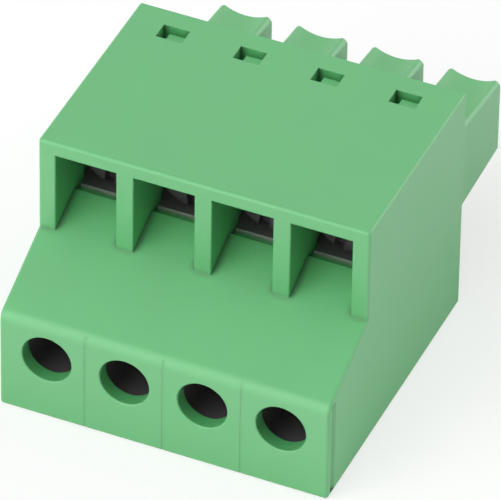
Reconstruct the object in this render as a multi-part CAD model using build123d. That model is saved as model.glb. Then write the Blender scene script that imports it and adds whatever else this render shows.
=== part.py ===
from build123d import *
import os
from math import cos, radians, tan

# A four-pole pluggable terminal block with its wires and screws on one side.
# A moulded housing holds a clamp in each of its chambers, and a moulded plug body
# closes the housing behind them and carries the sockets that go over a pin header.
# Turning a screw draws a wedge nut forward, and its slope presses a shoe down
# on the wire, against the current bar.
#
# Millimetres, X along the row of poles, Y from the wire side to the mating end, Z up.
# Pieces are drawn with Y = 0 on the wire face and moved back by half the length as
# they are written, so the origin is at the bottom centre. The clamps are drawn open.

# Clearances
seat_gap = 0.05
slide_gap = 0.04
thread_gap = 0.05
shank_hole_gap = 0.08
head_side_gap = 0.08
stop_gap = 0.1
wedge_gap = 0.06
overrun = 0.1  # how far a cutter runs past the face it opens, and a joined piece into its neighbour

# Poles, and the shoulder of the housing
poles = 4
pitch = 3.81
end_overhang = 2.315
front_height = 5.2
upper_face_y = 4.2
slope_angle = 25.0
front_edge_radius = 0.65
edge_radius = 0.15
rear_edge_chamfer = 0.08

# Walls of the housing
floor_wall = 1.32
top_wall = 0.74
front_wall = 0.72
recess_floor_wall = 0.85
shelf_wall = 0.6
recess_partition = 0.85
chamber_partition = 0.5

# Screw recess and wire hole
recess_ledge = 0.55
shelf_step = 0.15
recess_edge_radius = 0.08
head_depth = 2.8
recess_overlap = 0.3
wire_hole_radius = 1.21
wire_sill = 0.03
wire_hole_chamfer = 0.05

# Grooves that set the front wall's rim off at both ends, and the mould's witness lines
rim_depth = 0.3
rim_groove_width = 0.3
rim_groove_ramp = 0.15
rim_groove_depth = 0.1
witness_width = 0.12
witness_depth = 0.012

# Screw
screw_lip_gap = 0.25
head_length = 1.1
head_chamfer = 0.12
slot_width = 0.5
slot_depth = 0.45
slot_turns = (4.0, -9.0, 7.0, 16.3)  # from upright, in degrees, as the screws were left
shank_reach = 0.25
tip_chamfer = 0.2

# Clamp cage
cage_sheet = 0.3
cage_bend_radius = 0.45
lip_reach = 1.35
cage_tail = 0.13

# Wedge nut and pressure shoe
clamp_travel = 1.8
closed_gap = 0.35
wedge_angle = 45.0
nut_length = 2.2
nut_below_shank = 0.5
nut_side_wall = 0.215
nut_top_wall = 0.35
shoe_height = 4.15
shoe_below_shank = 0.3
shoe_front_gap = 0.15
shoe_set_back = 0.25
shoe_rib_depth = 0.15
shoe_ribs = 4

# Contact
contact_sheet = 0.35
contact_bend_radius = 0.35
bar_side_gap = 0.06
bar_lead = 0.55
trough_length = 3.45
trough_front = 0.3
leg_height = 1.4
leg_flare_length = 1.1
leg_root = 0.5
leg_pinch_share = 0.67
leg_end_gap = 0.2

# Latches between the housing and the plug body
window_width = 1.29
window_length = 0.95
window_wall = 0.02
nub_gaps = (0.36, 0.12)  # on its two sides in X
nub_rear_gap = 0.19
nub_height = 0.49
nub_ramp_share = 0.15
tongue_margin = 0.2
tongue_lead = 0.15
tongue_thickness = 0.65

# Plug body
flange_thickness = 1.08
plug_reach = 6.77
plug_setback = 0.995
plug_underside_z = 3.53
underside_flat = 2.4
lead_in_angle = 3.2
web_height = 2.26
tab_end_height = 1.84
tab_fall_angle = 6.5
tab_edge_radius = 0.3
groove_land = 0.25
groove_depth = 0.27
socket_rise = 1.86
socket_side_wall = 0.45
socket_height = 2.2
mouth_wall = 0.5
mouth_size = 1.3
mouth_throat = 0.95

# Across the poles
body_width = (poles - 1) * pitch + 2 * end_overhang
pole_x = [(i - (poles - 1) / 2) * pitch for i in range(poles)]
chamber_width = pitch - chamber_partition
recess_width = pitch - recess_partition
end_wall = end_overhang - chamber_width / 2
cage_width = chamber_width - 2 * seat_gap
cage_inner_width = cage_width - 2 * cage_sheet
nut_width = cage_inner_width - 2 * slide_gap
shank_radius = nut_width / 2 - nut_side_wall - thread_gap
head_radius = recess_width / 2 - head_side_gap
plug_half_width = body_width / 2 - plug_setback
tab_width = 2 * (plug_half_width - pole_x[-1])
socket_width = tab_width - 2 * socket_side_wall

# Up from the base
cage_bottom_z = floor_wall + seat_gap
bar_top_z = cage_bottom_z + cage_sheet + seat_gap + contact_sheet
wire_hole_z = bar_top_z + wire_sill + wire_hole_radius
shoe_low_z = bar_top_z + closed_gap + clamp_travel
shoe_top_z = shoe_low_z + shoe_height
screw_z = shoe_top_z + shoe_below_shank + shank_radius
nut_low_z = screw_z - shank_radius - nut_below_shank
nut_top_z = screw_z + shank_radius + nut_top_wall
cage_top_z = nut_top_z + seat_gap + cage_sheet
chamber_top_z = cage_top_z + seat_gap
body_height = chamber_top_z + top_wall
lip_top_z = screw_z - head_radius - screw_lip_gap
shelf_z = lip_top_z - shelf_step
under_lip_z = lip_top_z - cage_sheet - seat_gap
roof_top_z = under_lip_z - shelf_wall
tongue_top_z = chamber_top_z - seat_gap
web_top_z = plug_underside_z + web_height
tab_end_z = web_top_z + tab_end_height
socket_z = plug_underside_z + socket_rise
socket_low_z = socket_z - socket_height / 2

# Back from the wire face
head_front_y = upper_face_y + head_depth
head_rear_y = head_front_y + head_length
plate_front_y = head_rear_y + seat_gap
plate_rear_y = plate_front_y + cage_sheet
nut_travel = clamp_travel / tan(radians(wedge_angle))
nut_front_y = plate_rear_y + stop_gap + nut_travel
nut_rear_y = nut_front_y + nut_length
shank_end_y = nut_rear_y + shank_reach
cage_front_y = front_wall + seat_gap
cage_rear_y = shank_end_y + cage_tail
lip_front_y = plate_front_y - lip_reach
recess_floor_end = lip_front_y - recess_ledge
chamber_front = head_front_y + recess_overlap
shoe_front_y = plate_rear_y + shoe_front_gap
shoe_rear_y = nut_rear_y - shoe_set_back
bar_front_y = plate_front_y - bar_lead
tongue_front_y = cage_rear_y + 2 * seat_gap
window_y = tongue_front_y + tongue_lead
flange_front_y = window_y + window_length + window_wall
body_depth = flange_front_y + flange_thickness
seat_front_y = flange_front_y - seat_gap
total_length = body_depth + plug_reach
socket_end_y = total_length - mouth_wall
trough_end_y = flange_front_y + trough_length
leg_tip_y = socket_end_y - leg_end_gap


def slope_z(y):
    """Height of the sloping front face at a depth y."""
    return front_height + y * tan(radians(slope_angle))


def roof_line(front_y, gap=0.0):
    """The line of the chamber's roof, or one a gap below it, from its level part down to a depth y."""
    level_y = (roof_top_z + recess_floor_wall - front_height) / tan(radians(slope_angle))
    return [(level_y, roof_top_z - gap), (front_y, slope_z(front_y) - recess_floor_wall - gap)]


def block(x, y, z):
    """A box between the given pairs of limits."""
    low = Vector(x[0], y[0], z[0])
    size = Vector(x[1], y[1], z[1]) - low
    return Pos(low + size / 2) * Box(size.X, size.Y, size.Z)


def rod(radius, y, z, x=0.0):
    """A cylinder along Y between the pair of limits y."""
    return Pos(x, (y[0] + y[1]) / 2, z) * Rot(90, 0, 0) * Cylinder(radius, y[1] - y[0])


def side_profile(points, width):
    """A solid with its outline in the YZ plane, centred on X = 0."""
    outline = make_face(Plane.YZ * Polyline(*points, close=True))
    return extrude(outline, amount=width / 2, both=True)


def plan_profile(points, z):
    """A solid with its outline in the XY plane, between the pair of limits z."""
    outline = make_face(Polyline(*points, close=True))
    return Pos(0, 0, z[0]) * extrude(outline, amount=z[1] - z[0])


def edge_near(solid, axis, **place):
    """The edge along an axis whose middle is nearest to the given coordinates."""
    def distance(edge):
        middle = edge.center()
        return sum(abs(getattr(middle, name) - value) for name, value in place.items())
    return solid.edges().filter_by(axis).sort_by(distance)[0]


def edges_on(solid, name, value):
    """The edges that lie wholly in one plane across an axis."""
    def lies_on(edge):
        box = edge.bounding_box()
        low, high = getattr(box.min, name), getattr(box.max, name)
        return abs(low - value) < 0.001 and abs(high - value) < 0.001
    return [edge for edge in solid.edges() if lies_on(edge)]


# Housing

def housing_form(half, inset=0.0):
    """The outside of the housing at a half width, or the same form drawn in by an inset."""
    rise = inset / cos(radians(slope_angle))
    outline = [
        (inset, inset),
        (body_depth, inset),
        (body_depth, body_height - inset),
        (upper_face_y + inset, body_height - inset),
        (upper_face_y + inset, slope_z(upper_face_y + inset) - rise),
        (inset, slope_z(inset) - rise),
    ]
    side = half - inset
    form = side_profile(outline, 2 * side)
    form = fillet(edge_near(form, Axis.X, Y=inset, Z=front_height), front_edge_radius - inset)
    corners = [
        edge_near(form, Axis.X, Y=upper_face_y, Z=body_height),
        edge_near(form, Axis.X, Y=0, Z=0),
    ]
    for x in (-side, side):
        corners += [edge for edge in edges_on(form, "X", x) if edge.center().Y < body_depth - 0.001]
    form = fillet(corners, edge_radius - inset)
    return chamfer(edges_on(form, "Y", body_depth), rear_edge_chamfer)


def chamber():
    """The space inside the housing for one clamp, with its screw recess and openings."""
    recess_front_y = upper_face_y - 0.5
    shelf_end = lip_front_y - seat_gap
    recess = side_profile(
        [
            (recess_front_y, slope_z(recess_front_y)),
            (recess_floor_end, slope_z(recess_floor_end)),
            (recess_floor_end, shelf_z),
            (shelf_end, shelf_z),
            (shelf_end, under_lip_z),
            (chamber_front + overrun, under_lip_z),
            (chamber_front + overrun, chamber_top_z),
            (recess_front_y, chamber_top_z),
        ],
        recess_width,
    )
    inside = side_profile(
        [
            (front_wall, floor_wall),
            (seat_front_y + overrun, floor_wall),
            (seat_front_y + overrun, chamber_top_z),
            (chamber_front, chamber_top_z),
            (chamber_front, roof_top_z),
            *roof_line(front_wall),
        ],
        chamber_width,
    )
    wire_hole = rod(wire_hole_radius, (-overrun, front_wall + overrun), wire_hole_z)
    half = window_width / 2
    window_z = (chamber_top_z - overrun, body_height + overrun)
    window = block((-half, half), (window_y, window_y + window_length), window_z)
    return recess + inside + wire_hole + window


def mouth_edges(form):
    """The edges round the wire holes, and those round the screw recesses above the slope."""
    holes = [edge for edge in edges_on(form, "Y", 0) if edge.geom_type == GeomType.CIRCLE
             and abs(edge.radius - wire_hole_radius) < 0.001]
    recesses = []
    for x in pole_x:
        half = recess_width / 2
        middle = (slope_z(upper_face_y) + chamber_top_z) / 2
        recesses += [edge_near(form, Axis.X, X=x, Y=upper_face_y, Z=chamber_top_z)]
        recesses += [edge_near(form, Axis.Z, X=x + side * half, Y=upper_face_y, Z=middle) for side in (-1, 1)]
    return holes, recesses


def housing():
    side_x = body_width / 2
    form = housing_form(side_x)
    skin = form - housing_form(side_x, witness_depth)
    for i in range(poles - 1):
        x = (pole_x[i] + pole_x[i + 1]) / 2
        half = witness_width / 2
        form -= skin & block((x - half, x + half), (-overrun, front_edge_radius / 2), (0, front_height))
    floor_end_y = rim_depth + rim_groove_width
    for side in (-1, 1):
        groove = [
            (side * (side_x - rim_groove_depth), rim_depth),
            (side * (side_x - rim_groove_depth), floor_end_y),
            (side * side_x, floor_end_y + rim_groove_ramp),
            (side * (side_x + overrun), floor_end_y + rim_groove_ramp),
            (side * (side_x + overrun), rim_depth),
        ]
        form -= plan_profile(groove, (edge_radius, front_height))
    space = chamber()
    for x in pole_x:
        form -= Pos(x, 0, 0) * space
    half = body_width / 2 - end_wall
    form -= block((-half, half), (seat_front_y, body_depth + overrun), (floor_wall, chamber_top_z))
    holes, recesses = mouth_edges(form)
    form = fillet(recesses, recess_edge_radius)
    holes, recesses = mouth_edges(form)
    return chamfer(holes, wire_hole_chamfer)


# Plug body

def latch():
    """The tongue that reaches over a chamber from the flange, with its nub."""
    nub_x = (nub_gaps[0] - window_width / 2, window_width / 2 - nub_gaps[1])
    nub_width = nub_x[1] - nub_x[0]
    half = nub_x[1] + tongue_margin
    tongue_z = (tongue_top_z - tongue_thickness, tongue_top_z)
    tongue = block((-half, half), (tongue_front_y, flange_front_y + overrun), tongue_z)
    nub_front_y = window_y + seat_gap
    nub_rear_y = window_y + window_length - nub_rear_gap
    nub = Pos(sum(nub_x) / 2, 0, 0) * side_profile(
        [
            (nub_front_y, tongue_top_z - overrun),
            (nub_front_y, tongue_top_z),
            (nub_front_y + window_length * nub_ramp_share, tongue_top_z + nub_height),
            (nub_rear_y, tongue_top_z + nub_height),
            (nub_rear_y, tongue_top_z - overrun),
        ],
        nub_width,
    )
    return tongue + nub


def tab():
    """The rib above one socket, which falls towards its end, with the hollow along its top."""
    root_y = body_depth - overrun
    root_z = tab_end_z + (total_length - root_y) * tan(radians(tab_fall_angle))
    rib = side_profile(
        [
            (root_y, web_top_z - overrun),
            (total_length, web_top_z - overrun),
            (total_length, tab_end_z),
            (root_y, root_z),
        ],
        tab_width,
    )
    rib = fillet(rib.edges().filter_by(Axis.X, reverse=True).group_by(Axis.Z)[-1], tab_edge_radius)
    chord = tab_width - 2 * groove_land
    groove_radius = (chord**2 / 4 + groove_depth**2) / (2 * groove_depth)
    groove = rod(groove_radius, (-2 * plug_reach, 2 * plug_reach), groove_radius - groove_depth)
    return rib - Pos(0, total_length, tab_end_z) * Rot(-tab_fall_angle, 0, 0) * groove


def socket():
    """The space for one contact, with the funnel that lets a pin in."""
    half = socket_width / 2
    space_y = (flange_front_y - overrun, socket_end_y)
    space = block((-half, half), space_y, (socket_low_z, socket_low_z + socket_height))
    outer = Plane(origin=(0, total_length, socket_z), z_dir=(0, 1, 0)) * Rectangle(mouth_size, mouth_size)
    inner = Plane(origin=(0, socket_end_y, socket_z), z_dir=(0, 1, 0)) * Rectangle(mouth_throat, mouth_throat)
    return space + loft([inner, outer])


def plug_body():
    lead_in = (plug_reach - underside_flat) * tan(radians(lead_in_angle))
    body = side_profile(
        [
            (body_depth - overrun, plug_underside_z),
            (body_depth + underside_flat, plug_underside_z),
            (total_length, plug_underside_z + lead_in),
            (total_length, web_top_z),
            (body_depth - overrun, web_top_z),
        ],
        2 * plug_half_width,
    )
    half = body_width / 2 - end_wall - seat_gap
    body += block((-half, half), (flange_front_y, body_depth), (cage_bottom_z, tongue_top_z))
    for x in pole_x:
        body += Pos(x, 0, 0) * (tab() + latch())
        body -= Pos(x, 0, 0) * socket()
    return body


# Clamp of one pole

def clamp_screw(slot_turn):
    head = rod(head_radius, (head_front_y, head_rear_y), screw_z)
    rim = head.edges().filter_by(GeomType.CIRCLE).sort_by(Axis.Y)[0]
    head = chamfer(rim, head_chamfer)
    half = slot_width / 2
    reach = head_radius + overrun
    slot = block((-half, half), (head_front_y - overrun, head_front_y + slot_depth), (-reach, reach))
    head -= Pos(0, 0, screw_z) * Rot(0, slot_turn, 0) * slot
    shank = rod(shank_radius, (head_rear_y - overrun, shank_end_y), screw_z)
    tip = shank.edges().filter_by(GeomType.CIRCLE).sort_by(Axis.Y)[-1]
    return head + chamfer(tip, tip_chamfer)


def clamp_cage():
    """A folded sheet: a tall frame behind the screw head and low cheeks beside the wire."""
    height = cage_top_z - cage_bottom_z
    middle = Plane(origin=(0, cage_front_y, cage_bottom_z + height / 2), x_dir=(1, 0, 0), z_dir=(0, 1, 0))
    outer = RectangleRounded(cage_width, height, cage_bend_radius)
    inner = RectangleRounded(cage_inner_width, height - 2 * cage_sheet, cage_bend_radius - cage_sheet)
    tube = extrude(middle * (outer - inner), amount=cage_rear_y - cage_front_y)
    cheek_end = chamber_front + seat_gap
    outline = [
        (cage_front_y, cage_bottom_z),
        (cage_rear_y, cage_bottom_z),
        (cage_rear_y, cage_top_z),
        (plate_front_y, cage_top_z),
        (plate_front_y, lip_top_z),
        (cheek_end, lip_top_z),
        (cheek_end, roof_top_z - 2 * seat_gap),
        *roof_line(cage_front_y, 2 * seat_gap),
    ]
    cage = tube & side_profile(outline, cage_width)
    half = cage_inner_width / 2 + cage_sheet / 2
    plate_z = (lip_top_z - cage_sheet, cage_top_z - cage_sheet / 2)
    cage += block((-half, half), (plate_front_y, plate_rear_y), plate_z)
    lip_half = recess_width / 2 - seat_gap
    cage += block((-lip_half, lip_half), (lip_front_y, plate_rear_y), (lip_top_z - cage_sheet, lip_top_z))
    hole_y = (plate_front_y - overrun, plate_rear_y + overrun)
    return cage - rod(shank_radius + shank_hole_gap, hole_y, screw_z)


def wedge_nut():
    drop = nut_length * tan(radians(wedge_angle))
    nut = side_profile(
        [
            (nut_front_y, nut_low_z),
            (nut_rear_y, nut_low_z - drop),
            (nut_rear_y, nut_top_z),
            (nut_front_y, nut_top_z),
        ],
        nut_width,
    )
    return nut - rod(shank_radius + thread_gap, (nut_front_y - overrun, nut_rear_y + overrun), screw_z)


def pressure_shoe():
    """The block that presses on the wire, with a slope that lies along the wedge."""
    rise = tan(radians(wedge_angle))
    crest = nut_low_z - wedge_gap
    shoe = side_profile(
        [
            (shoe_front_y, shoe_low_z),
            (shoe_rear_y, shoe_low_z),
            (shoe_rear_y, crest - (shoe_rear_y - nut_front_y) * rise),
            (nut_front_y - (shoe_top_z - crest) / rise, shoe_top_z),
            (shoe_front_y, shoe_top_z),
        ],
        nut_width,
    )
    spacing = (shoe_rear_y - shoe_front_y) / shoe_ribs
    for i in range(1, shoe_ribs):
        y = shoe_front_y + spacing * i
        shoe -= side_profile(
            [
                (y - shoe_rib_depth, shoe_low_z),
                (y, shoe_low_z + shoe_rib_depth),
                (y + shoe_rib_depth, shoe_low_z),
            ],
            nut_width,
        )
    return shoe


def contact():
    """One strip: the bar under the wire, a step up, and a trough with two spring legs."""
    outer = socket_width / 2 - bar_side_gap
    inner = outer - contact_sheet
    bar_z = bar_top_z - contact_sheet / 2
    trough_low_z = socket_low_z + seat_gap
    trough_z = trough_low_z + contact_sheet / 2
    riser_y = cage_rear_y + 2 * seat_gap + contact_sheet / 2
    route = Plane.YZ * FilletPolyline(
        (bar_front_y, bar_z),
        (riser_y, bar_z),
        (riser_y, trough_z),
        (trough_end_y, trough_z),
        radius=contact_bend_radius,
    )
    start = Plane(origin=route @ 0, x_dir=(1, 0, 0), z_dir=route % 0)
    strip = sweep(start * Rectangle(2 * outer, contact_sheet), path=route)
    half = cage_inner_width / 2 - bar_side_gap
    strip += block((-half, half), (bar_front_y, cage_rear_y), (bar_top_z - contact_sheet, bar_top_z))
    root_y = trough_end_y - leg_root
    pinch_y = leg_tip_y - leg_flare_length
    pinch = inner * leg_pinch_share
    wall_y = (flange_front_y + trough_front, trough_end_y)
    wall_z = (trough_low_z, socket_low_z + socket_height - 2 * seat_gap)
    leg_z = (socket_z - leg_height / 2, socket_z + leg_height / 2)
    for side in (-1, 1):
        strip += block(sorted((side * inner, side * outer)), wall_y, wall_z)
        leg = [
            (side * inner, root_y),
            (side * pinch, pinch_y),
            (side * inner, leg_tip_y),
            (side * outer, leg_tip_y),
            (side * (pinch + contact_sheet), pinch_y),
            (side * outer, root_y),
        ]
        strip += plan_profile(leg, leg_z)
    return strip


# Writing

def write(name, solid):
    export_step(Pos(0, -total_length / 2, 0) * solid, f"parts/{name}.step")


def main():
    os.makedirs("parts", exist_ok=True)
    write("housing", housing())
    write("plug_body", plug_body())
    clamp = {
        "contact": contact(),
        "clamp_cage": clamp_cage(),
        "wedge_nut": wedge_nut(),
        "pressure_shoe": pressure_shoe(),
    }
    for i, x in enumerate(pole_x, start=1):
        write(f"clamp_screw_{i}", Pos(x, 0, 0) * clamp_screw(slot_turns[(i - 1) % len(slot_turns)]))
        for name, solid in clamp.items():
            write(f"{name}_{i}", Pos(x, 0, 0) * solid)


main()
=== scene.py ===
"""Finishes, screw threads and studio for a four-pole pluggable terminal block."""

import math

import bmesh
import bpy
from bpy.props import FloatProperty, FloatVectorProperty, IntProperty, PointerProperty
from mathutils import Matrix, Vector


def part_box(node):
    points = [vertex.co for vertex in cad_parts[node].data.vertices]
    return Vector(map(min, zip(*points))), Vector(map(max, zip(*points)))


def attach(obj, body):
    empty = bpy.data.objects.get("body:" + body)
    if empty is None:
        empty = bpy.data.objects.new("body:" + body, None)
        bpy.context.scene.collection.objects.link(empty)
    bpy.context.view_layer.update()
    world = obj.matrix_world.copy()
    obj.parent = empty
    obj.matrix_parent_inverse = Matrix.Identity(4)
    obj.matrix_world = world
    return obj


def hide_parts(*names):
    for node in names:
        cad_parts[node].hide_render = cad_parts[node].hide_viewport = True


bl_info = {
    "name": "Pluggable terminal block",
    "version": (1, 0, 0),
    "blender": (4, 5, 0),
    "location": "3D View > Sidebar > Terminal Block",
    "description": "Finishes, screw threads and studio for a four-pole pluggable terminal block",
    "category": "Object",
}

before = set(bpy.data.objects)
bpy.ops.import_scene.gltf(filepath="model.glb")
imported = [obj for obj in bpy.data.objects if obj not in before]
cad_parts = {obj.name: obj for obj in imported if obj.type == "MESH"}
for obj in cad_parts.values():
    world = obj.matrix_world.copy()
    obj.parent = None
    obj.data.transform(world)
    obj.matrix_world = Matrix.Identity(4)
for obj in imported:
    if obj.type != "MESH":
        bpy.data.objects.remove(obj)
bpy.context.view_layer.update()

MM = 0.001
SCREW_NODE = "clamp_screw_"
MERGE_GAP = MM / 10000
POLES = sorted(name[len(SCREW_NODE):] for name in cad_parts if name.startswith(SCREW_NODE))
ALONG_SCREW = Vector((0, 1, 0))

# The frame's own sizes, from which the new pieces take theirs

screw_low, screw_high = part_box(SCREW_NODE + POLES[0])
nut_low, nut_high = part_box("wedge_nut_" + POLES[0])
HEAD_RADIUS = (screw_high.x - screw_low.x) / 2
HEAD_FRONT_Y = screw_low.y
SCREW_TIP_Y = screw_high.y
SCREW_Z = (screw_high.z + screw_low.z) / 2
NUT_FRONT_Y = nut_low.y
NUT_REAR_Y = nut_high.y


def pole_x(pole):
    """The middle of one pole, along the row."""
    low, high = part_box(SCREW_NODE + pole)
    return (low.x + high.x) / 2


PITCH = pole_x(POLES[1]) - pole_x(POLES[0])


# Settings

class PlasticSettings(bpy.types.PropertyGroup):
    """Colour and surface of the moulded parts."""

    colour: FloatVectorProperty(
        name="Colour", description="Green of the moulded plastic", subtype="COLOR",
        size=3, min=0, max=1, default=(0.09, 0.43, 0.142),
    )
    mottle: FloatProperty(
        name="Mottle", description="How much the green shifts from place to place",
        subtype="FACTOR", min=0, max=1, default=0.35,
    )
    mottle_size: FloatProperty(
        name="Mottle size", description="Width of one patch of the mottle",
        subtype="DISTANCE", unit="LENGTH", min=0.0001, default=3.5 * MM,
    )
    grain_size: FloatProperty(
        name="Grain size", description="Width of one grain of the mould's eroded finish",
        subtype="DISTANCE", unit="LENGTH", min=0.00001, default=0.13 * MM,
    )
    grain_depth: FloatProperty(
        name="Grain depth", description="Depth of that grain",
        subtype="DISTANCE", unit="LENGTH", min=0, default=0.0012 * MM,
    )
    roughness: FloatProperty(
        name="Roughness", description="Roughness of the satin surface",
        subtype="FACTOR", min=0, max=1, default=0.5,
    )
    # The next two settings control painted shade: the plastic's colour is darkened in tight corners and
    # grooves.
    painted_shade_reach: FloatProperty(
        name="Nook reach", description="How near two walls must be for the corner between them to darken",
        subtype="DISTANCE", unit="LENGTH", min=0, default=0.35 * MM,
    )
    painted_shade_depth: FloatProperty(
        name="Nook darkness", description="How dark the tightest corners and grooves grow",
        subtype="FACTOR", min=0, max=1, default=0.75,
    )
    edge_softness: FloatProperty(
        name="Edge softness", description="Width over which the light rolls round an edge",
        subtype="DISTANCE", unit="LENGTH", min=0, default=0.05 * MM,
    )
    gloss: FloatProperty(
        name="Gloss", description="Strength of the surface's reflections",
        subtype="FACTOR", min=0, max=1, default=1.0,
    )


class MetalSettings(bpy.types.PropertyGroup):
    """Colours and surfaces of the clamp's metal parts."""

    cage_colour: FloatVectorProperty(
        name="Cage", description="Blackened steel of the clamp cages", subtype="COLOR",
        size=3, min=0, max=1, default=(0.24, 0.205, 0.23),
    )
    screw_colour: FloatVectorProperty(
        name="Screws", description="Blackened steel of the screws", subtype="COLOR",
        size=3, min=0, max=1, default=(0.075, 0.055, 0.07),
    )
    nut_colour: FloatVectorProperty(
        name="Nuts", description="Brass of the wedge nuts", subtype="COLOR",
        size=3, min=0, max=1, default=(0.62, 0.42, 0.16),
    )
    shoe_colour: FloatVectorProperty(
        name="Shoes", description="Plated steel of the pressure shoes", subtype="COLOR",
        size=3, min=0, max=1, default=(0.44, 0.43, 0.44),
    )
    contact_colour: FloatVectorProperty(
        name="Contacts", description="Tin plating of the contact strips", subtype="COLOR",
        size=3, min=0, max=1, default=(0.62, 0.60, 0.57),
    )
    # Painted highlight: this pale colour is painted on the cages' forward-facing edges in front of the
    # screw heads, where light catches them.
    painted_highlight_colour: FloatVectorProperty(
        name="Painted edge highlight", description="Bare steel where the cage's sheet was sheared", subtype="COLOR",
        size=3, min=0, max=1, default=(0.62, 0.60, 0.60),
    )
    blackened_metallic: FloatProperty(
        name="Blackened metallic", description="How much the blackened steel still mirrors like bare metal",
        subtype="FACTOR", min=0, max=1, default=0.35,
    )
    scratch_depth: FloatProperty(
        name="Scratch depth", description="Depth of the rolling and turning marks",
        subtype="DISTANCE", unit="LENGTH", min=0, default=0.0015 * MM,
    )


class ThreadSettings(bpy.types.PropertyGroup):
    """Sizes of the screws and of the threads in the nuts."""

    lead: FloatProperty(
        name="Lead", description="Travel of the nut for one turn of the screw",
        subtype="DISTANCE", unit="LENGTH", min=0.0001, default=0.4 * MM,
    )
    major_radius: FloatProperty(
        name="Major radius", description="Radius over the crests of the screw's thread",
        subtype="DISTANCE", unit="LENGTH", min=0.0001, default=1.0 * MM,
    )
    depth: FloatProperty(
        name="Depth", description="Depth of the screw's thread",
        subtype="DISTANCE", unit="LENGTH", min=0.00001, default=0.2 * MM,
    )
    gap: FloatProperty(
        name="Gap", description="Clearance between the screw's thread and the nut's",
        subtype="DISTANCE", unit="LENGTH", min=0, default=0.05 * MM,
    )
    head_length: FloatProperty(
        name="Head length", description="Length of the screw's head",
        subtype="DISTANCE", unit="LENGTH", min=0.0001, default=1.1 * MM,
    )
    head_chamfer: FloatProperty(
        name="Head chamfer", description="Chamfer round the front of the head",
        subtype="DISTANCE", unit="LENGTH", min=0, default=0.12 * MM,
    )
    neck_length: FloatProperty(
        name="Neck length", description="Plain length of shank behind the head",
        subtype="DISTANCE", unit="LENGTH", min=0, default=0.5 * MM,
    )
    slot_width: FloatProperty(
        name="Slot width", description="Width of the driver slot",
        subtype="DISTANCE", unit="LENGTH", min=0, default=0.5 * MM,
    )
    slot_turns: FloatVectorProperty(
        name="Slot turns", description="Turn of each slot from upright, as the screws were left",
        unit="ROTATION", size=4, default=tuple(math.radians(turn) for turn in (4, -9, 7, 16.3)),
    )
    slot_depth: FloatProperty(
        name="Slot depth", description="Depth of the driver slot",
        subtype="DISTANCE", unit="LENGTH", min=0, default=0.45 * MM,
    )
    segments: IntProperty(
        name="Segments", description="Facets round one turn", min=12, max=96, default=36,
    )


class StudioSettings(bpy.types.PropertyGroup):
    """The camera, the floor and the light."""

    azimuth: FloatProperty(
        name="Azimuth", description="Camera's angle round the block from the wire face",
        subtype="ANGLE", unit="ROTATION", default=math.radians(23.147),
    )
    elevation: FloatProperty(
        name="Elevation", description="Camera's angle above the floor",
        subtype="ANGLE", unit="ROTATION", default=math.radians(39.28),
    )
    roll: FloatProperty(
        name="Roll", description="Turn of the camera about its own view",
        subtype="ANGLE", unit="ROTATION", default=math.radians(0.97),
    )
    distance: FloatProperty(
        name="Distance", description="From the camera to the point it looks at",
        subtype="DISTANCE", unit="LENGTH", min=0.01, default=365.78 * MM,
    )
    aim: FloatVectorProperty(
        name="Aim", description="The point that the camera looks at",
        subtype="TRANSLATION", unit="LENGTH", size=3, default=(0.0188 * MM, -1.3997 * MM, 4.4974 * MM),
    )
    lens: FloatProperty(
        name="Lens", description="Focal length in millimetres, on a 36 mm sensor",
        min=1, default=580.82,
    )
    floor_size: FloatProperty(
        name="Floor size", description="Width of the floor",
        subtype="DISTANCE", unit="LENGTH", min=0.1, default=1.6,
    )
    ambient: FloatProperty(
        name="Ambient", description="Light that comes from all sides", min=0, default=0.665,
    )
    key_power: FloatProperty(
        name="Key light", description="Power of the soft box at the front left",
        subtype="POWER", unit="POWER", min=0, default=0.4,
    )
    panel_power: FloatProperty(
        name="Front panel", description="Power of the low panel at the front, only for gloss",
        subtype="POWER", unit="POWER", min=0, default=1.8,
    )
    back_power: FloatProperty(
        name="Back panel", description="Power of the low panel at the back right, also only for gloss",
        subtype="POWER", unit="POWER", min=0, default=0.5,
    )
    lean: FloatProperty(
        name="Lean", description="How much more light comes from the front left and the back right",
        subtype="FACTOR", min=0, max=1, default=0.9,
    )


# Shader groups and materials

def new_group(name, inputs, outputs):
    """An empty shader node group with its sockets, its input node and its output node."""
    group = bpy.data.node_groups.new(name, "ShaderNodeTree")
    for label, kind in inputs:
        group.interface.new_socket(label, in_out="INPUT", socket_type=kind)
    for label, kind in outputs:
        group.interface.new_socket(label, in_out="OUTPUT", socket_type=kind)
    return group, group.nodes.new("NodeGroupInput"), group.nodes.new("NodeGroupOutput")


def add_node(tree, kind, inputs=None, **settings):
    """A node with its settings, and with each input set to a value or linked to a socket."""
    made = tree.nodes.new(kind)
    for name, value in settings.items():
        setattr(made, name, value)
    for name, value in (inputs or {}).items():
        socket = made.inputs[name]
        if isinstance(value, bpy.types.NodeSocket):
            tree.links.new(value, socket)
        else:
            socket.default_value = value
    return made


def math_node(tree, operation, *values):
    """The result of a Math node on values or sockets."""
    return add_node(tree, "ShaderNodeMath", dict(enumerate(values)), operation=operation).outputs[0]


def remap(tree, value, low, high):
    """A value from 0 to 1, brought between two others."""
    inputs = {"Value": value, "To Min": low, "To Max": high}
    return add_node(tree, "ShaderNodeMapRange", inputs).outputs["Result"]


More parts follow.
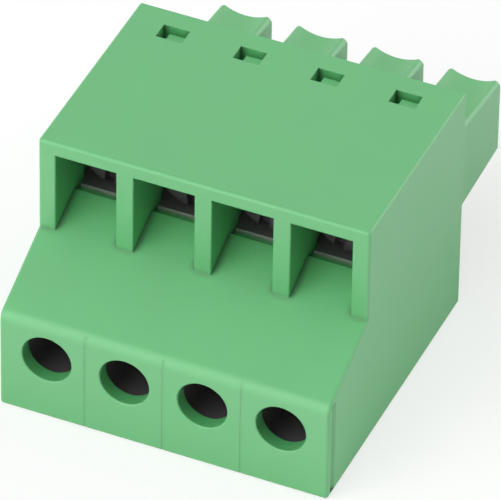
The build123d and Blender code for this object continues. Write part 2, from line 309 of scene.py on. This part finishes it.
def tone_and_shade_group():
    """A colour that grows a little lighter and darker in soft patches, with painted shade darkening it in
    tight corners.
    """
    group, given, out = new_group(
        "Soft tone",
        [("Vector", "NodeSocketVector"), ("Colour", "NodeSocketColor"), ("Amount", "NodeSocketFloat"),
         ("Patch scale", "NodeSocketFloat"), ("Nook reach", "NodeSocketFloat"),
         ("Nook darkness", "NodeSocketFloat")],
        [("Colour", "NodeSocketColor"), ("Mask", "NodeSocketFloat")],
    )
    noise = add_node(group, "ShaderNodeTexNoise", {
        "Vector": given.outputs["Vector"], "Scale": given.outputs["Patch scale"],
        "Detail": 3.0, "Roughness": 0.55,
    })
    spread = remap(group, noise.outputs[0], -0.2, 0.2)
    shift = math_node(group, "MULTIPLY", spread, given.outputs["Amount"])
    # Painted shade: an ambient occlusion mask darkens the colour in tight corners and grooves.
    reach = {"Distance": given.outputs["Nook reach"]}
    openness = add_node(group, "ShaderNodeAmbientOcclusion", reach, samples=8, only_local=True)
    steepness = 1.9
    nook = remap(group, openness.outputs["AO"], steepness, 0.0)
    shade = math_node(group, "MULTIPLY", nook, given.outputs["Nook darkness"])
    value = math_node(group, "SUBTRACT", math_node(group, "ADD", shift, 1.0), shade)
    toned = add_node(group, "ShaderNodeHueSaturation", {
        "Hue": 0.5, "Saturation": 1.0, "Value": value, "Fac": 1.0, "Color": given.outputs["Colour"],
    })
    group.links.new(toned.outputs["Color"], out.inputs["Colour"])
    group.links.new(noise.outputs[0], out.inputs["Mask"])
    return group


def grain_group():
    """Fine even grain, as from a mould that was spark eroded."""
    group, given, out = new_group(
        "Mould grain",
        [("Vector", "NodeSocketVector"), ("Grain scale", "NodeSocketFloat"), ("Depth", "NodeSocketFloat"),
         ("Normal", "NodeSocketVector")],
        [("Normal", "NodeSocketVector"), ("Mask", "NodeSocketFloat")],
    )
    noise = add_node(group, "ShaderNodeTexNoise", {
        "Vector": given.outputs["Vector"], "Scale": given.outputs["Grain scale"],
        "Detail": 2.0, "Roughness": 0.6,
    })
    bump = add_node(group, "ShaderNodeBump", {
        "Height": noise.outputs[0], "Distance": given.outputs["Depth"], "Strength": 1.0,
        "Normal": given.outputs["Normal"],
    })
    group.links.new(bump.outputs["Normal"], out.inputs["Normal"])
    group.links.new(noise.outputs[0], out.inputs["Mask"])
    return group


def marks_group():
    """Fine lines drawn out along one direction, as rolling and cutting leave them."""
    group, given, out = new_group(
        "Tool marks",
        [("Vector", "NodeSocketVector"), ("Colour", "NodeSocketColor"), ("Depth", "NodeSocketFloat")],
        [("Colour", "NodeSocketColor"), ("Roughness", "NodeSocketFloat"), ("Normal", "NodeSocketVector")],
    )
    lines = add_node(group, "ShaderNodeTexNoise", {
        "Vector": given.outputs["Vector"], "Scale": 1.0, "Detail": 4.0, "Roughness": 0.6,
    })
    darkest, lightest = 0.75, 1.2
    lightness = remap(group, lines.outputs[0], darkest, lightest)
    toned = add_node(group, "ShaderNodeHueSaturation", {
        "Hue": 0.5, "Saturation": 1.0, "Value": lightness, "Fac": 1.0, "Color": given.outputs["Colour"],
    })
    smoothest, roughest = 0.22, 0.42
    roughness = remap(group, lines.outputs[0], smoothest, roughest)
    bump = add_node(group, "ShaderNodeBump", {
        "Height": lines.outputs[0], "Distance": given.outputs["Depth"], "Strength": 1.0,
    })
    group.links.new(toned.outputs["Color"], out.inputs["Colour"])
    group.links.new(roughness, out.inputs["Roughness"])
    group.links.new(bump.outputs["Normal"], out.inputs["Normal"])
    return group


def effect(name, build):
    """The named shader group, built the first time that it is asked for."""
    return bpy.data.node_groups.get(name) or build()


def principled(material):
    """A material's Principled shader."""
    return next(n for n in material.node_tree.nodes if n.type == "BSDF_PRINCIPLED")


def new_material(name):
    """A material with its node tree and its Principled shader."""
    material = bpy.data.materials.new(name)
    material.use_nodes = True
    return material, material.node_tree, principled(material)


def per_mark(*sizes):
    """How often marks of these sizes, in millimetres, fit in a metre."""
    return tuple(1 / (size * MM) for size in sizes)


def place_in_pole(tree, stretch):
    """Object coordinates folded into one pole's own width, centred on its screw, and stretched."""
    here = add_node(tree, "ShaderNodeTexCoord").outputs["Object"]
    apart = add_node(tree, "ShaderNodeSeparateXYZ", {"Vector": here})
    from_first = math_node(tree, "SUBTRACT", apart.outputs["X"], pole_x(POLES[0]))
    across = math_node(tree, "WRAP", from_first, PITCH / 2, -PITCH / 2)
    up = math_node(tree, "SUBTRACT", apart.outputs["Z"], SCREW_Z)
    joined = add_node(tree, "ShaderNodeCombineXYZ", {"X": across, "Y": apart.outputs["Y"], "Z": up})
    return add_node(tree, "ShaderNodeMapping", {"Vector": joined.outputs[0], "Scale": stretch}).outputs[0]


def plastic_material(name, plastic):
    """Moulded plastic: a soft tone with painted shade in tight corners, a fine grain and a satin gloss that
    shifts a little.
    """
    material, tree, shader = new_material(name)
    here = add_node(tree, "ShaderNodeTexCoord").outputs["Object"]
    # The tone group also paints shade into the plastic's tight corners and grooves.
    tone = add_node(tree, "ShaderNodeGroup", node_tree=effect("Soft tone", tone_and_shade_group))
    tree.links.new(here, tone.inputs["Vector"])
    tone.inputs["Colour"].default_value = (*plastic.colour, 1)
    tone.inputs["Amount"].default_value = plastic.mottle
    tone.inputs["Patch scale"].default_value = 1 / plastic.mottle_size
    tone.inputs["Nook reach"].default_value = plastic.painted_shade_reach
    tone.inputs["Nook darkness"].default_value = plastic.painted_shade_depth
    grain = add_node(tree, "ShaderNodeGroup", node_tree=effect("Mould grain", grain_group))
    tree.links.new(here, grain.inputs["Vector"])
    grain.inputs["Grain scale"].default_value = 1 / plastic.grain_size
    grain.inputs["Depth"].default_value = plastic.grain_depth
    rounded = add_node(tree, "ShaderNodeBevel", {"Radius": plastic.edge_softness}, samples=6)
    tree.links.new(rounded.outputs["Normal"], grain.inputs["Normal"])
    shift = 0.06
    roughness = remap(tree, tone.outputs["Mask"], plastic.roughness - shift, plastic.roughness + shift)
    tree.links.new(tone.outputs["Colour"], shader.inputs["Base Color"])
    tree.links.new(roughness, shader.inputs["Roughness"])
    tree.links.new(grain.outputs["Normal"], shader.inputs["Normal"])
    shader.inputs["Specular IOR Level"].default_value = plastic.gloss
    return material


def rings_round_screw(tree):
    """A place for marks that run in rings round the screw's own axis."""
    here = add_node(tree, "ShaderNodeSeparateXYZ", {"Vector": place_in_pole(tree, (1, 1, 1))})
    across = math_node(tree, "POWER", here.outputs["X"], 2.0)
    up = math_node(tree, "POWER", here.outputs["Z"], 2.0)
    radius = math_node(tree, "SQRT", math_node(tree, "ADD", across, up))
    ring_scale, along_scale = per_mark(0.05, 0.12)
    rings = math_node(tree, "MULTIPLY", radius, ring_scale)
    along = math_node(tree, "MULTIPLY", here.outputs["Y"], along_scale)
    return add_node(tree, "ShaderNodeCombineXYZ", {"X": rings, "Y": along, "Z": 0.0}).outputs[0]


def metal_material(name, colour, depth, stretch=None, metallic=1.0):
    """Metal with marks drawn out along the directions with a small stretch, or in rings without one."""
    material, tree, shader = new_material(name)
    place = place_in_pole(tree, stretch) if stretch else rings_round_screw(tree)
    marks = add_node(tree, "ShaderNodeGroup", node_tree=effect("Tool marks", marks_group))
    tree.links.new(place, marks.inputs["Vector"])
    marks.inputs["Colour"].default_value = (*colour, 1)
    marks.inputs["Depth"].default_value = depth
    shader.inputs["Metallic"].default_value = metallic
    tree.links.new(marks.outputs["Colour"], shader.inputs["Base Color"])
    tree.links.new(marks.outputs["Roughness"], shader.inputs["Roughness"])
    tree.links.new(marks.outputs["Normal"], shader.inputs["Normal"])
    return material


def painted_edge_highlight(material, highlight_colour):
    """Paints a highlight on the sheet's sheared edges which face the wire side in front of the screws'
    heads.
    """
    tree = material.node_tree
    colour = principled(material).inputs["Base Color"]
    here = add_node(tree, "ShaderNodeTexCoord")
    facing = add_node(tree, "ShaderNodeSeparateXYZ", {"Vector": here.outputs["Normal"]}).outputs["Y"]
    depth = add_node(tree, "ShaderNodeSeparateXYZ", {"Vector": here.outputs["Object"]}).outputs["Y"]
    # Painted highlight: faces that point forwards, in front of the heads, are mixed towards the pale
    # colour.
    facing_limit = -0.7
    forwards = math_node(tree, "LESS_THAN", facing, facing_limit)
    ahead = math_node(tree, "LESS_THAN", depth, HEAD_FRONT_Y)
    mix = add_node(tree, "ShaderNodeMix", data_type="RGBA")
    tree.links.new(math_node(tree, "MULTIPLY", forwards, ahead), mix.inputs[0])
    tree.links.new(colour.links[0].from_socket, mix.inputs[6])
    mix.inputs[7].default_value = (*highlight_colour, 1)
    tree.links.new(mix.outputs[2], colour)


def dress(obj, material):
    """Gives an object one material in place of those it has."""
    obj.data.materials.clear()
    obj.data.materials.append(material)


def new_piece(name, bm, material):
    """A finished mesh as an object at the origin, with its faces pointing outwards."""
    bmesh.ops.recalc_face_normals(bm, faces=bm.faces)
    mesh = bpy.data.meshes.new(name)
    bm.to_mesh(mesh)
    bm.free()
    piece = bpy.data.objects.new(name, mesh)
    bpy.context.scene.collection.objects.link(piece)
    dress(piece, material)
    return piece


def soften(obj, angle=math.radians(32)):
    """Smooth shading that keeps every edge sharper than the angle."""
    for face in obj.data.polygons:
        face.use_smooth = True
    for edge in obj.data.edges:
        edge.use_edge_sharp = False
    obj.data.set_sharp_from_angle(angle=angle)


# Screws and threads

def helix(bm, outline, start_y, end_y, thread, centre):
    """A right-hand thread swept from an outline of (radius, height) points, cut flat at both ends."""
    turns = math.ceil((end_y - start_y) / thread.lead) + 2
    before_y = start_y - thread.lead
    corners = [bm.verts.new(centre + Vector((radius, before_y + y, 0))) for radius, y in outline]
    ring = [bm.edges.new(pair) for pair in zip(corners, corners[1:])]
    bmesh.ops.spin(
        bm, geom=corners + ring, cent=centre, axis=ALONG_SCREW, angle=turns * math.tau,
        steps=turns * thread.segments, dvec=ALONG_SCREW * thread.lead / thread.segments,
    )
    bmesh.ops.remove_doubles(bm, verts=bm.verts, dist=MERGE_GAP)
    on_plane = MM / 100000
    for y, side in ((start_y, -1), (end_y, 1)):
        bmesh.ops.bisect_plane(
            bm, geom=bm.verts[:] + bm.edges[:] + bm.faces[:], dist=on_plane,
            plane_co=centre + ALONG_SCREW * y, plane_no=ALONG_SCREW * side, clear_outer=True,
        )


def open_edges(bm, y):
    """The edges with one face only that lie across the screw at a height y."""
    near = MM / 1000
    return [e for e in bm.edges if e.is_boundary and all(abs(v.co.y - y) < near for v in e.verts)]


def root_radius(thread):
    """Radius of the screw's neck, and of the thread's groove."""
    return thread.major_radius - thread.depth


def thread_start(thread):
    """Where the screw's thread starts, behind its head and its neck."""
    return HEAD_FRONT_Y + thread.head_length + thread.neck_length


def thread_steps(thread):
    """Lengths along the screw of the thread's crest, and of one of its flanks."""
    flat = thread.lead / 8
    return flat, (thread.lead - 3 * flat) / 2


def screw_outline(thread):
    """One lead of the screw's thread, from one root to the next, as (radius, height) points."""
    root = root_radius(thread)
    flat, flank = thread_steps(thread)
    return [
        (root, 0.0),
        (root, 2 * flat),
        (thread.major_radius, 2 * flat + flank),
        (thread.major_radius, 3 * flat + flank),
        (root, thread.lead),
    ]


def build_screw(pole, thread, material):
    """A slotted screw: a turned head and neck, and a threaded shank with a chamfered tip."""
    centre = Vector((pole_x(pole), 0, SCREW_Z))
    root = root_radius(thread)
    head_rear_y = HEAD_FRONT_Y + thread.head_length
    thread_start_y = thread_start(thread)
    bm = bmesh.new()
    helix(bm, screw_outline(thread), thread_start_y, SCREW_TIP_Y, thread, centre)
    for vert in bm.verts:
        out = vert.co - centre
        out.y = 0
        allowed = root + (SCREW_TIP_Y - vert.co.y)
        if out.length > allowed:
            vert.co -= out * (1 - allowed / out.length)
    bmesh.ops.holes_fill(bm, edges=open_edges(bm, SCREW_TIP_Y))
    lathe = bmesh.new()
    profile = [
        (0.0, HEAD_FRONT_Y),
        (HEAD_RADIUS - thread.head_chamfer, HEAD_FRONT_Y),
        (HEAD_RADIUS, HEAD_FRONT_Y + thread.head_chamfer),
        (HEAD_RADIUS, head_rear_y - thread.head_chamfer / 2),
        (HEAD_RADIUS - thread.head_chamfer / 2, head_rear_y),
        (root, head_rear_y),
        (root, thread_start_y),
    ]
    corners = [lathe.verts.new(centre + Vector((radius, y, 0))) for radius, y in profile]
    edges = [lathe.edges.new(pair) for pair in zip(corners, corners[1:])]
    bmesh.ops.spin(
        lathe, geom=corners + edges, cent=centre, axis=ALONG_SCREW, angle=math.tau,
        steps=thread.segments, use_merge=True,
    )
    bmesh.ops.remove_doubles(lathe, verts=lathe.verts, dist=MERGE_GAP)
    turned = bpy.data.meshes.new("turned head")
    lathe.to_mesh(turned)
    lathe.free()
    bm.from_mesh(turned)
    bpy.data.meshes.remove(turned)
    bmesh.ops.bridge_loops(bm, edges=open_edges(bm, thread_start_y))
    screw = new_piece(f"slotted_screw_{pole}", bm, material)
    turn = thread.slot_turns[POLES.index(pole) % len(thread.slot_turns)]
    cut_slot(screw, centre, thread, turn)
    soften(screw)
    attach(screw, f"screw_{pole}")
    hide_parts(SCREW_NODE + pole)


def cut_slot(screw, centre, thread, turn):
    """Cuts the driver slot across the head, and leaves the result in the screw's own mesh."""
    cutter = bmesh.new()
    bmesh.ops.create_cube(cutter, size=1)
    length = 3 * HEAD_RADIUS
    bmesh.ops.scale(cutter, vec=(thread.slot_width, 2 * thread.slot_depth, length), verts=cutter.verts)
    bmesh.ops.rotate(cutter, cent=(0, 0, 0), matrix=Matrix.Rotation(turn, 3, "Y"), verts=cutter.verts)
    bmesh.ops.translate(cutter, vec=centre + ALONG_SCREW * HEAD_FRONT_Y, verts=cutter.verts)
    block = new_piece("slot_cutter", cutter, screw.data.materials[0])
    cut = screw.modifiers.new("Slot", "BOOLEAN")
    cut.operation = "DIFFERENCE"
    cut.solver = "EXACT"
    cut.object = block
    bpy.context.view_layer.update()
    done = bpy.data.meshes.new_from_object(screw.evaluated_get(bpy.context.evaluated_depsgraph_get()))
    screw.modifiers.clear()
    old = screw.data
    screw.data = done
    done.name = screw.name
    bpy.data.meshes.remove(old)
    bpy.data.meshes.remove(block.data)


def nut_outline(thread):
    """The ridge of the nut's thread, centred in the screw's groove, as (radius, height) points."""
    sink_share = 1.6  # the ridge's base lies this many gaps out, inside the nut's own wall
    flank_share = 0.4  # and its crest is narrower by this share of a gap on each side
    crest_radius = root_radius(thread) + thread.gap
    base_radius = thread.major_radius + thread.gap * sink_share
    flat, flank = thread_steps(thread)
    slope = flank / thread.depth
    middle = flat
    crest_half = flat - thread.gap * flank_share
    base_half = crest_half + (base_radius - crest_radius) * slope
    return [
        (base_radius, middle - base_half),
        (crest_radius, middle - crest_half),
        (crest_radius, middle + crest_half),
        (base_radius, middle + base_half),
    ]


def build_nut_thread(pole, thread, material):
    """The thread in the bore of one wedge nut: a ridge with its open base sunk in the nut's wall."""
    centre = Vector((pole_x(pole), 0, SCREW_Z))
    bm = bmesh.new()
    phase = math.fmod(NUT_FRONT_Y - thread_start(thread), thread.lead)
    outline = [(radius, y - phase) for radius, y in nut_outline(thread)]
    helix(bm, outline, NUT_FRONT_Y, NUT_REAR_Y, thread, centre)
    ridge = new_piece(f"nut_thread_{pole}", bm, material)
    soften(ridge)
    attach(ridge, f"nut_{pole}")


# Studio

def by_ray(tree, lit, seen, mirrored):
    """One value for light on a surface, one for what the camera sees, and one for what gloss mirrors."""
    path = add_node(tree, "ShaderNodeLightPath")
    direct = math_node(tree, "MAXIMUM", path.outputs["Is Camera Ray"], path.outputs["Is Transmission Ray"])
    more = math_node(tree, "SUBTRACT", seen, lit)
    value = math_node(tree, "MULTIPLY_ADD", direct, more, lit)
    shift = math_node(tree, "SUBTRACT", mirrored, lit)
    return math_node(tree, "MULTIPLY_ADD", path.outputs["Is Glossy Ray"], shift, value)


def build_floor(studio):
    """A plain pale floor: white, with a faint shadow, and with painted light that makes it brighter in
    front where gloss mirrors it.
    """
    bm = bmesh.new()
    bmesh.ops.create_grid(bm, x_segments=1, y_segments=1, size=studio.floor_size / 2)
    below = 0.002 * MM
    bmesh.ops.translate(bm, vec=(0, 0, -below), verts=bm.verts)
    material, tree, shader = new_material("Pale floor")
    shader.inputs["Roughness"].default_value = 1.0
    shader.inputs["Specular IOR Level"].default_value = 0.0
    here = add_node(tree, "ShaderNodeTexCoord").outputs["Object"]
    along = add_node(tree, "ShaderNodeSeparateXYZ", {"Vector": here}).outputs["Y"]
    # Painted light: gloss sees the floor's colour raised far above white, most in front, standing in for
    # light falling there.
    beside, in_front = -8 * MM, -16 * MM
    mirrored = add_node(tree, "ShaderNodeMapRange", {
        "Value": along, "From Min": beside, "From Max": in_front, "To Min": 1.85, "To Max": 2.95,
    }).outputs["Result"]
    paleness = 0.42
    colour = by_ray(tree, lit=paleness, seen=paleness, mirrored=mirrored)
    glow = by_ray(tree, lit=0.0, seen=0.63, mirrored=0.0)
    tree.links.new(colour, shader.inputs["Base Color"])
    shader.inputs["Emission Color"].default_value = (1, 1, 1, 1)
    tree.links.new(glow, shader.inputs["Emission Strength"])
    floor = new_piece("floor", bm, material)


def build_light(studio):
    """Light from all round, a soft box at the front left, and two panels that only show in gloss."""
    world = bpy.data.worlds.new("Soft room")
    bpy.context.scene.world = world
    world.use_nodes = True
    tree = world.node_tree
    background = next(n for n in tree.nodes if n.type == "BACKGROUND")
    background.inputs["Color"].default_value = (1, 1, 1, 1)
    towards = add_node(tree, "ShaderNodeTexCoord").outputs["Generated"]
    way = add_node(tree, "ShaderNodeSeparateXYZ", {"Vector": towards})
    diagonal = math_node(tree, "MULTIPLY", way.outputs["X"], way.outputs["Y"])
    lit = math_node(tree, "MULTIPLY_ADD", diagonal, 2 * studio.lean * studio.ambient, studio.ambient)
    tree.links.new(by_ray(tree, lit=lit, seen=1.0, mirrored=1.35), background.inputs["Strength"])
    box = hang_light("Soft box", studio.key_power, (0.24, 0.24), (-0.35, -0.6, 0.72))
    box.visible_glossy = False
    panel = hang_light("Front panel", studio.panel_power, (0.7, 0.5), (-0.3, -0.85, 0.35))
    back = hang_light("Back panel", studio.back_power, (0.3, 0.2), (0.63, 0.71, 0.3))
    for light in (panel, back):
        light.visible_diffuse = False


def hang_light(name, power, size, towards):
    """A rectangular light that hangs in one direction from the block and faces it."""
    light = bpy.data.lights.new(name, "AREA")
    light.shape = "RECTANGLE"
    light.size, light.size_y = size
    light.energy = power
    lamp = bpy.data.objects.new(name, light)
    bpy.context.scene.collection.objects.link(lamp)
    direction = Vector(towards).normalized()
    reach = 0.34
    lamp.location = direction * reach
    lamp.rotation_euler = direction.to_track_quat("Z", "Y").to_euler()
    return lamp


def build_camera(studio):
    """The camera at the photograph's angle and framing."""
    scene = bpy.context.scene
    data = bpy.data.cameras.new("Camera")
    data.sensor_width = 36
    data.lens = studio.lens
    data.clip_start = 0.01
    data.clip_end = 20
    camera = bpy.data.objects.new("Camera", data)
    scene.collection.objects.link(camera)
    back = Vector((
        math.sin(studio.azimuth) * math.cos(studio.elevation),
        -math.cos(studio.azimuth) * math.cos(studio.elevation),
        math.sin(studio.elevation),
    ))
    camera.location = Vector(studio.aim) + back * studio.distance
    level = back.to_track_quat("Z", "Y").to_matrix()
    camera.rotation_euler = (level @ Matrix.Rotation(studio.roll, 3, "Z")).to_euler()
    scene.camera = camera
    scene.view_settings.view_transform = "Standard"


# Operators

class BLOCK_OT_plastic(bpy.types.Operator):
    """Finish the housing and the plug body as satin moulded plastic"""

    bl_idname = "terminal_block.plastic"
    bl_label = "Moulded parts"

    def execute(self, context):
        plastic = context.scene.block_plastic
        green = plastic_material("Green plastic", plastic)
        for name in ("housing", "plug_body"):
            dress(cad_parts[name], green)
        return {"FINISHED"}


class BLOCK_OT_screws(bpy.types.Operator):
    """Make the slotted clamp screws with their threads"""

    bl_idname = "terminal_block.screws"
    bl_label = "Clamp screws"

    def execute(self, context):
        metal = context.scene.block_metal
        steel = metal_material(
            "Turned steel", metal.screw_colour, metal.scratch_depth, metallic=metal.blackened_metallic,
        )
        for pole in POLES:
            build_screw(pole, context.scene.block_thread, steel)
        return {"FINISHED"}


class BLOCK_OT_nuts(bpy.types.Operator):
    """Finish the wedge nuts and make the threads in them"""

    bl_idname = "terminal_block.nuts"
    bl_label = "Wedge nuts"

    def execute(self, context):
        metal = context.scene.block_metal
        drawn = per_mark(0.05, 1.2, 0.05)
        brass = metal_material("Milled brass", metal.nut_colour, metal.scratch_depth, drawn)
        for pole in POLES:
            dress(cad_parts["wedge_nut_" + pole], brass)
            build_nut_thread(pole, context.scene.block_thread, brass)
        return {"FINISHED"}


class BLOCK_OT_clamps(bpy.types.Operator):
    """Finish the folded cages as blackened sheet and the pressure shoes as plated steel"""

    bl_idname = "terminal_block.clamps"
    bl_label = "Cages and shoes"

    def execute(self, context):
        metal = context.scene.block_metal
        rolled = per_mark(0.06, 1.5, 0.06)
        milled = per_mark(1.2, 0.05, 0.05)
        marks = metal.scratch_depth
        metallic = metal.blackened_metallic
        sheet = metal_material("Rolled sheet steel", metal.cage_colour, marks, rolled, metallic)
        # Paints a highlight on the cages' forward-facing edges in front of the screw heads.
        painted_edge_highlight(sheet, metal.painted_highlight_colour)
        block = metal_material("Milled steel", metal.shoe_colour, marks, milled)
        for pole in POLES:
            dress(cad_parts["clamp_cage_" + pole], sheet)
            dress(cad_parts["pressure_shoe_" + pole], block)
        return {"FINISHED"}


class BLOCK_OT_contacts(bpy.types.Operator):
    """Finish the contact strips as tin plated metal"""

    bl_idname = "terminal_block.contacts"
    bl_label = "Contacts"

    def execute(self, context):
        metal = context.scene.block_metal
        rolled = per_mark(0.08, 2.0, 0.08)
        tin = metal_material("Tin plated strip", metal.contact_colour, metal.scratch_depth, rolled)
        for pole in POLES:
            dress(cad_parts["contact_" + pole], tin)
        return {"FINISHED"}


class BLOCK_OT_studio(bpy.types.Operator):
    """Make the pale floor, the soft light and the camera"""

    bl_idname = "terminal_block.studio"
    bl_label = "Studio"

    def execute(self, context):
        studio = context.scene.block_studio
        build_floor(studio)
        build_light(studio)
        build_camera(studio)
        return {"FINISHED"}


# Panel and registration

OPERATORS = (
    BLOCK_OT_plastic, BLOCK_OT_screws, BLOCK_OT_nuts, BLOCK_OT_clamps, BLOCK_OT_contacts, BLOCK_OT_studio,
)
SETTINGS = {
    "block_plastic": PlasticSettings,
    "block_metal": MetalSettings,
    "block_thread": ThreadSettings,
    "block_studio": StudioSettings,
}


class BLOCK_PT_panel(bpy.types.Panel):
    """Lists the settings of the block and the steps that make it"""

    bl_idname = "BLOCK_PT_panel"
    bl_label = "Terminal Block"
    bl_space_type = "VIEW_3D"
    bl_region_type = "UI"
    bl_category = "Terminal Block"

    def draw(self, context):
        for name in SETTINGS:
            group = getattr(context.scene, name)
            box = self.layout.box()
            for prop in group.bl_rna.properties:
                if prop.identifier not in ("rna_type", "name"):
                    box.prop(group, prop.identifier)
        for operator in OPERATORS:
            self.layout.operator(operator.bl_idname)


def register():
    """Registers the settings, the operators and the panel."""
    for group in SETTINGS.values():
        bpy.utils.register_class(group)
    for name, group in SETTINGS.items():
        setattr(bpy.types.Scene, name, PointerProperty(type=group))
    for operator in OPERATORS:
        bpy.utils.register_class(operator)
    bpy.utils.register_class(BLOCK_PT_panel)


def unregister():
    """Takes them out again."""
    bpy.utils.unregister_class(BLOCK_PT_panel)
    for operator in reversed(OPERATORS):
        bpy.utils.unregister_class(operator)
    for name in SETTINGS:
        delattr(bpy.types.Scene, name)
    for group in reversed(SETTINGS.values()):
        bpy.utils.unregister_class(group)


def main():
    """Dresses the block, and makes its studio."""
    register()
    bpy.ops.terminal_block.plastic()
    bpy.ops.terminal_block.screws()
    bpy.ops.terminal_block.nuts()
    bpy.ops.terminal_block.clamps()
    bpy.ops.terminal_block.contacts()
    bpy.ops.terminal_block.studio()


if __name__ == "__main__":
    main()
